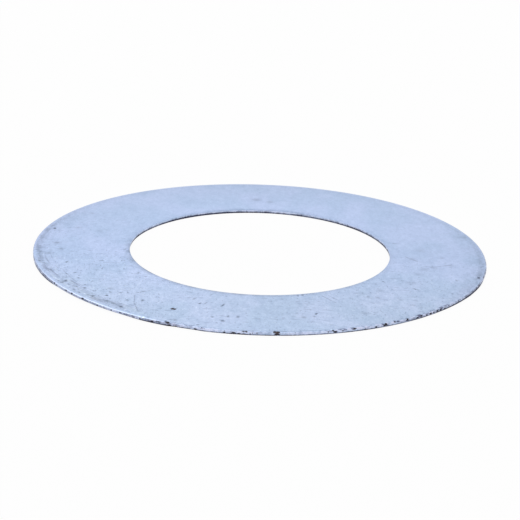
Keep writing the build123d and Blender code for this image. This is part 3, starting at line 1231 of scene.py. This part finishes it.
# painted sheen: the brightness of the reflection is painted into the colour
colour = vector(tree, "SCALE", tone["Color"], painted(tree, "sheen"))
axes = add(tree, "SeparateXYZ", {0: place}).outputs
colour = darken(tree, colour, fade(tree, axes["Y"], 0.0, NEAR_SIDE), NEAR_TINT)
# dirt and painted shade darken the colour
dirt_and_shade = calc(tree, "MULTIPLY", painted(tree, "dirt_and_shade"), fade(tree, tone["Height"], 0.40, 0.60, 1.25, 0.65))
colour = darken(tree, colour, dirt_and_shade, DIRT_AND_SHADE_TINT)
# smudges and painted shade darken the colour here, and painted glints brighten it
smudge_and_painted_light = vector(tree, "SCALE", SMUDGE_AND_PAINTED_LIGHT_LOSS, painted(tree, "smudge_and_painted_light"))
colour = vector(tree, "MULTIPLY", colour, vector(tree, "ADD", smudge_and_painted_light, (1.0, 1.0, 1.0)))
print("nodes in the faces' finish:", len(tree.nodes))

# %% [markdown]
# Next come the fine marks, all made with the group of flecks: dark and pale arcs on the near left, dark
# and pale specks everywhere, and short dashes across the grain. The pale ones take their noise from a
# place further off, or they would lie on the dark ones.


# %% Material of the faces: arcs, specks and dashes
def flecked(tree, place, size, level, softness, amount):
    """Flecks of this size: (across, along, up), in millimetres, times an amount."""
    sockets = {"Place": place, "Size": size, "Level": level, "Softness": softness}
    return calc(tree, "MULTIPLY", use(tree, "Flecks", sockets)["Mask"], amount)


ARC_CENTRE = (2.0, 2.0, 0.0)
DARK_ARC_TINT = (0.70, 0.70, 0.73, 1.0)
PALE_ARC_TINT = (1.20, 1.17, 1.08, 1.0)
DARK_SPECK_TINT = (0.50, 0.52, 0.58, 1.0)
PALE_SPECK_TINT = (1.25, 1.20, 1.10, 1.0)
DASH_TINT = (0.78, 0.79, 0.82, 1.0)
DASH_TURN = math.radians(4.0)

arced = painted(tree, "arced")
bent = use(tree, "Round a centre", {"Place": place, "Centre": ARC_CENTRE})["Place"]
dark_arc = flecked(tree, bent, (3.2, 3.2, 0.32), 0.56, 0.10, arced)
colour = darken(tree, colour, dark_arc, DARK_ARC_TINT)
elsewhere = vector(tree, "ADD", bent, (40.0, 0.0, 0.0))
pale_arc = flecked(tree, elsewhere, (2.6, 2.6, 0.32), 0.58, 0.10, arced)
colour = darken(tree, colour, pale_arc, PALE_ARC_TINT)

dark_speck = flecked(tree, deep, (0.22, 0.40, 0.22), 0.64, 0.08, marked)
colour = darken(tree, colour, dark_speck, DARK_SPECK_TINT)
elsewhere = vector(tree, "ADD", deep, (0.0, 60.0, 0.0))
pale_speck = flecked(tree, elsewhere, (0.26, 0.45, 0.26), 0.64, 0.08, marked)
colour = darken(tree, colour, pale_speck, PALE_SPECK_TINT)
turned = add(tree, "Mapping", {"Vector": deep, "Rotation": (0.0, 0.0, DASH_TURN)}).outputs[0]
dash = flecked(tree, turned, (1.3, 0.40, 0.5), 0.63, 0.10, fade(tree, marked, 0.0, 0.6))
colour = darken(tree, colour, dash, DASH_TINT)
print("nodes in the faces' finish:", len(tree.nodes))

# %% [markdown]
# The single scratches are placed one by one, each from one point to another with its half width. They lie
# on the upper face only. The rubbed edge is painted paler than the sheet: partly bare rubbed steel, partly a
# painted highlight. The knocked corner comes last, because the knocks went through all the rest.

# %% Material of the faces: scratches, rubbed edge with its painted highlight, and knocks
SCRATCHES = [
    ((-13.2, -16.6, 0.0), (-13.1, -18.9, 0.0), 0.13),
    ((-13.1, -18.9, 0.0), (-12.5, -21.4, 0.0), 0.13),
    ((-13.1, -15.9, 0.0), (-11.5, -14.8, 0.0), 0.17),
    ((-16.4, -18.4, 0.0), (-15.0, -19.5, 0.0), 0.22),
    ((-15.1, -19.5, 0.0), (-14.0, -20.7, 0.0), 0.24),
    ((6.9, -14.8, 0.0), (8.3, -16.7, 0.0), 0.17),
    ((7.6, -14.6, 0.0), (9.0, -16.4, 0.0), 0.15),
    ((16.8, -0.8, 0.0), (18.0, -2.3, 0.0), 0.22),
    ((19.4, -4.2, 0.0), (22.2, -3.0, 0.0), 0.16),
]
SCRATCH_TINT = (0.62, 0.64, 0.68, 1.0)
# paler steel of the rubbed edge, partly bare steel and partly a painted highlight
RUBBED_HIGHLIGHT_STEEL = (0.66, 0.72, 0.90, 1.0)
RUBBED_HIGHLIGHT_SHARE = 0.7

scratched = 0.0
for start, end, half_width in SCRATCHES:
    sockets = {"Place": place, "From": start, "To": end, "Half width": half_width}
    scratched = calc(tree, "MAXIMUM", scratched, use(tree, "Single scratch", sockets)["Mask"])
on_top = fade(tree, axes["Z"], 0.45 * THICK, 0.55 * THICK)
colour = darken(tree, colour, calc(tree, "MULTIPLY", scratched, on_top), SCRATCH_TINT)
# painted highlight on the rubbed edge, mixed over the sheet's colour
rubbed_and_highlight = calc(tree, "MULTIPLY", painted(tree, "rubbed_and_highlight"), RUBBED_HIGHLIGHT_SHARE)
colour = mix(tree, rubbed_and_highlight, colour, RUBBED_HIGHLIGHT_STEEL)
sockets = {"Place": place, "Color": colour, "Amount": painted(tree, "nicked")}
colour = use(tree, "Knocks", sockets)["Color"]
print("nodes in the faces' finish:", len(tree.nodes))

# %% [markdown]
# Rust covers everything else. It also takes the metal's gloss away: where the rust mask is 1 the surface
# is rough and hardly metallic. A weak bump from the mottling, with the dark specks sunk in, gives the
# sheet its fine grain.

# %% Material of the faces: rust, gloss and relief
STEEL_ROUGH = 0.33
DIRT_ROUGH = 0.12
RUST_ROUGH = 0.85
RUST_METAL = 0.15
GRAIN_HEIGHT = 0.02 * MM

sockets = {"Place": place, "Color": colour, "Stain": painted(tree, "stain"), "Brown": painted(tree, "brown")}
rust = use(tree, "Rust", sockets)
rough = calc(tree, "ADD", STEEL_ROUGH, calc(tree, "MULTIPLY", painted(tree, "dirt_and_shade"), DIRT_ROUGH))
rough = calc(tree, "MAXIMUM", rough, calc(tree, "MULTIPLY", rust["Mask"], RUST_ROUGH))
relief = calc(tree, "SUBTRACT", tone["Height"], calc(tree, "MULTIPLY", dark_speck, 0.3))
bump = add(tree, "Bump", {"Height": relief, "Strength": 0.25, "Distance": GRAIN_HEIGHT})
metal = fade(tree, rust["Mask"], 0.0, 1.0, 1.0, RUST_METAL)
sockets = {"Base Color": rust["Color"], "Metallic": metal, "Roughness": rough, "Normal": bump.outputs[0]}
surface = add(tree, "BsdfPrincipled", sockets)
add(tree, "OutputMaterial", {"Surface": surface.outputs[0]})
print("nodes in the faces' finish:", len(tree.nodes))

# %% [markdown]
# ## Sheared wall
#
# The walls were cut, not rolled, so they are duller and darker, with fine lines from top to bottom where
# the shear dragged over them. Oxide and painted shade are painted on by angle, and noise breaks them into
# patches. The knocks and the rust run on from the face, because they read the same places and the same
# painted amounts.

# %% Material of the walls
WALL_STEEL = (0.560, 0.640, 0.850, 1.0)
WALL_MOTTLING = 1.2
STREAK_SIZE = (0.20, 0.20, 1.6)
STREAK_SHARE = 0.7
PATCH_SIZE = (0.9, 0.9, 0.5)
UNEVEN_MIDDLE = 0.85  # where streaks and patches together neither darken nor brighten
UNEVENNESS = 1.5
# the dark of oxide and of painted shade on the walls
OXIDE_AND_SHADE = (0.040, 0.042, 0.085, 1.0)
LAND_ROUGH = 0.38
OXIDE_ROUGH = 0.62

wall_finish, tree, place = start_material("sheared_wall")
tone = use(tree, "Sheet tone", {"Place": place, "Steel": WALL_STEEL, "Mottling": WALL_MOTTLING})
streaks = cloud(tree, place, STREAK_SIZE, detail=3.0, rough=0.6)
patches = cloud(tree, place, PATCH_SIZE, detail=3.0, rough=0.7)
uneven = calc(tree, "ADD", calc(tree, "MULTIPLY", streaks, STREAK_SHARE), patches)
uneven = calc(tree, "MULTIPLY", calc(tree, "SUBTRACT", uneven, UNEVEN_MIDDLE), UNEVENNESS)
# oxide and painted shade darken the wall
oxide_and_shade = calc(tree, "ADD", painted(tree, "oxide_and_shade"), uneven)
oxide_and_shade = add(tree, "Clamp", {"Value": oxide_and_shade}).outputs[0]
colour = mix(tree, oxide_and_shade, tone["Color"], OXIDE_AND_SHADE)
sockets = {"Place": place, "Color": colour, "Amount": painted(tree, "nicked")}
colour = use(tree, "Knocks", sockets)["Color"]
sockets = {"Place": place, "Color": colour, "Stain": painted(tree, "stain"), "Brown": painted(tree, "brown")}
rust = use(tree, "Rust", sockets)
bump = add(tree, "Bump", {"Height": streaks, "Strength": 0.4, "Distance": GRAIN_HEIGHT})
metal = fade(tree, rust["Mask"], 0.0, 1.0, 1.0, RUST_METAL)
rough = fade(tree, oxide_and_shade, 0.0, 1.0, LAND_ROUGH, OXIDE_ROUGH)
sockets = {"Base Color": rust["Color"], "Metallic": metal, "Roughness": rough, "Normal": bump.outputs[0]}
surface = add(tree, "BsdfPrincipled", sockets)
add(tree, "OutputMaterial", {"Surface": surface.outputs[0]})
print("nodes in the walls' finish:", len(tree.nodes))

# %% [markdown]
# ## The ring in place
#
# The worn ring rides on the part's only body and stands in for the plain construction model, which is
# hidden. It takes the two finishes made above: the bright sheet for its faces and the sheared wall for its
# walls.

# %% Dress the ring
ring_mesh.materials.append(face_finish)
ring_mesh.materials.append(wall_finish)
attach(ring, "root")
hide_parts("shim_ring")
print("materials on the ring:", [material.name for material in ring_mesh.materials])
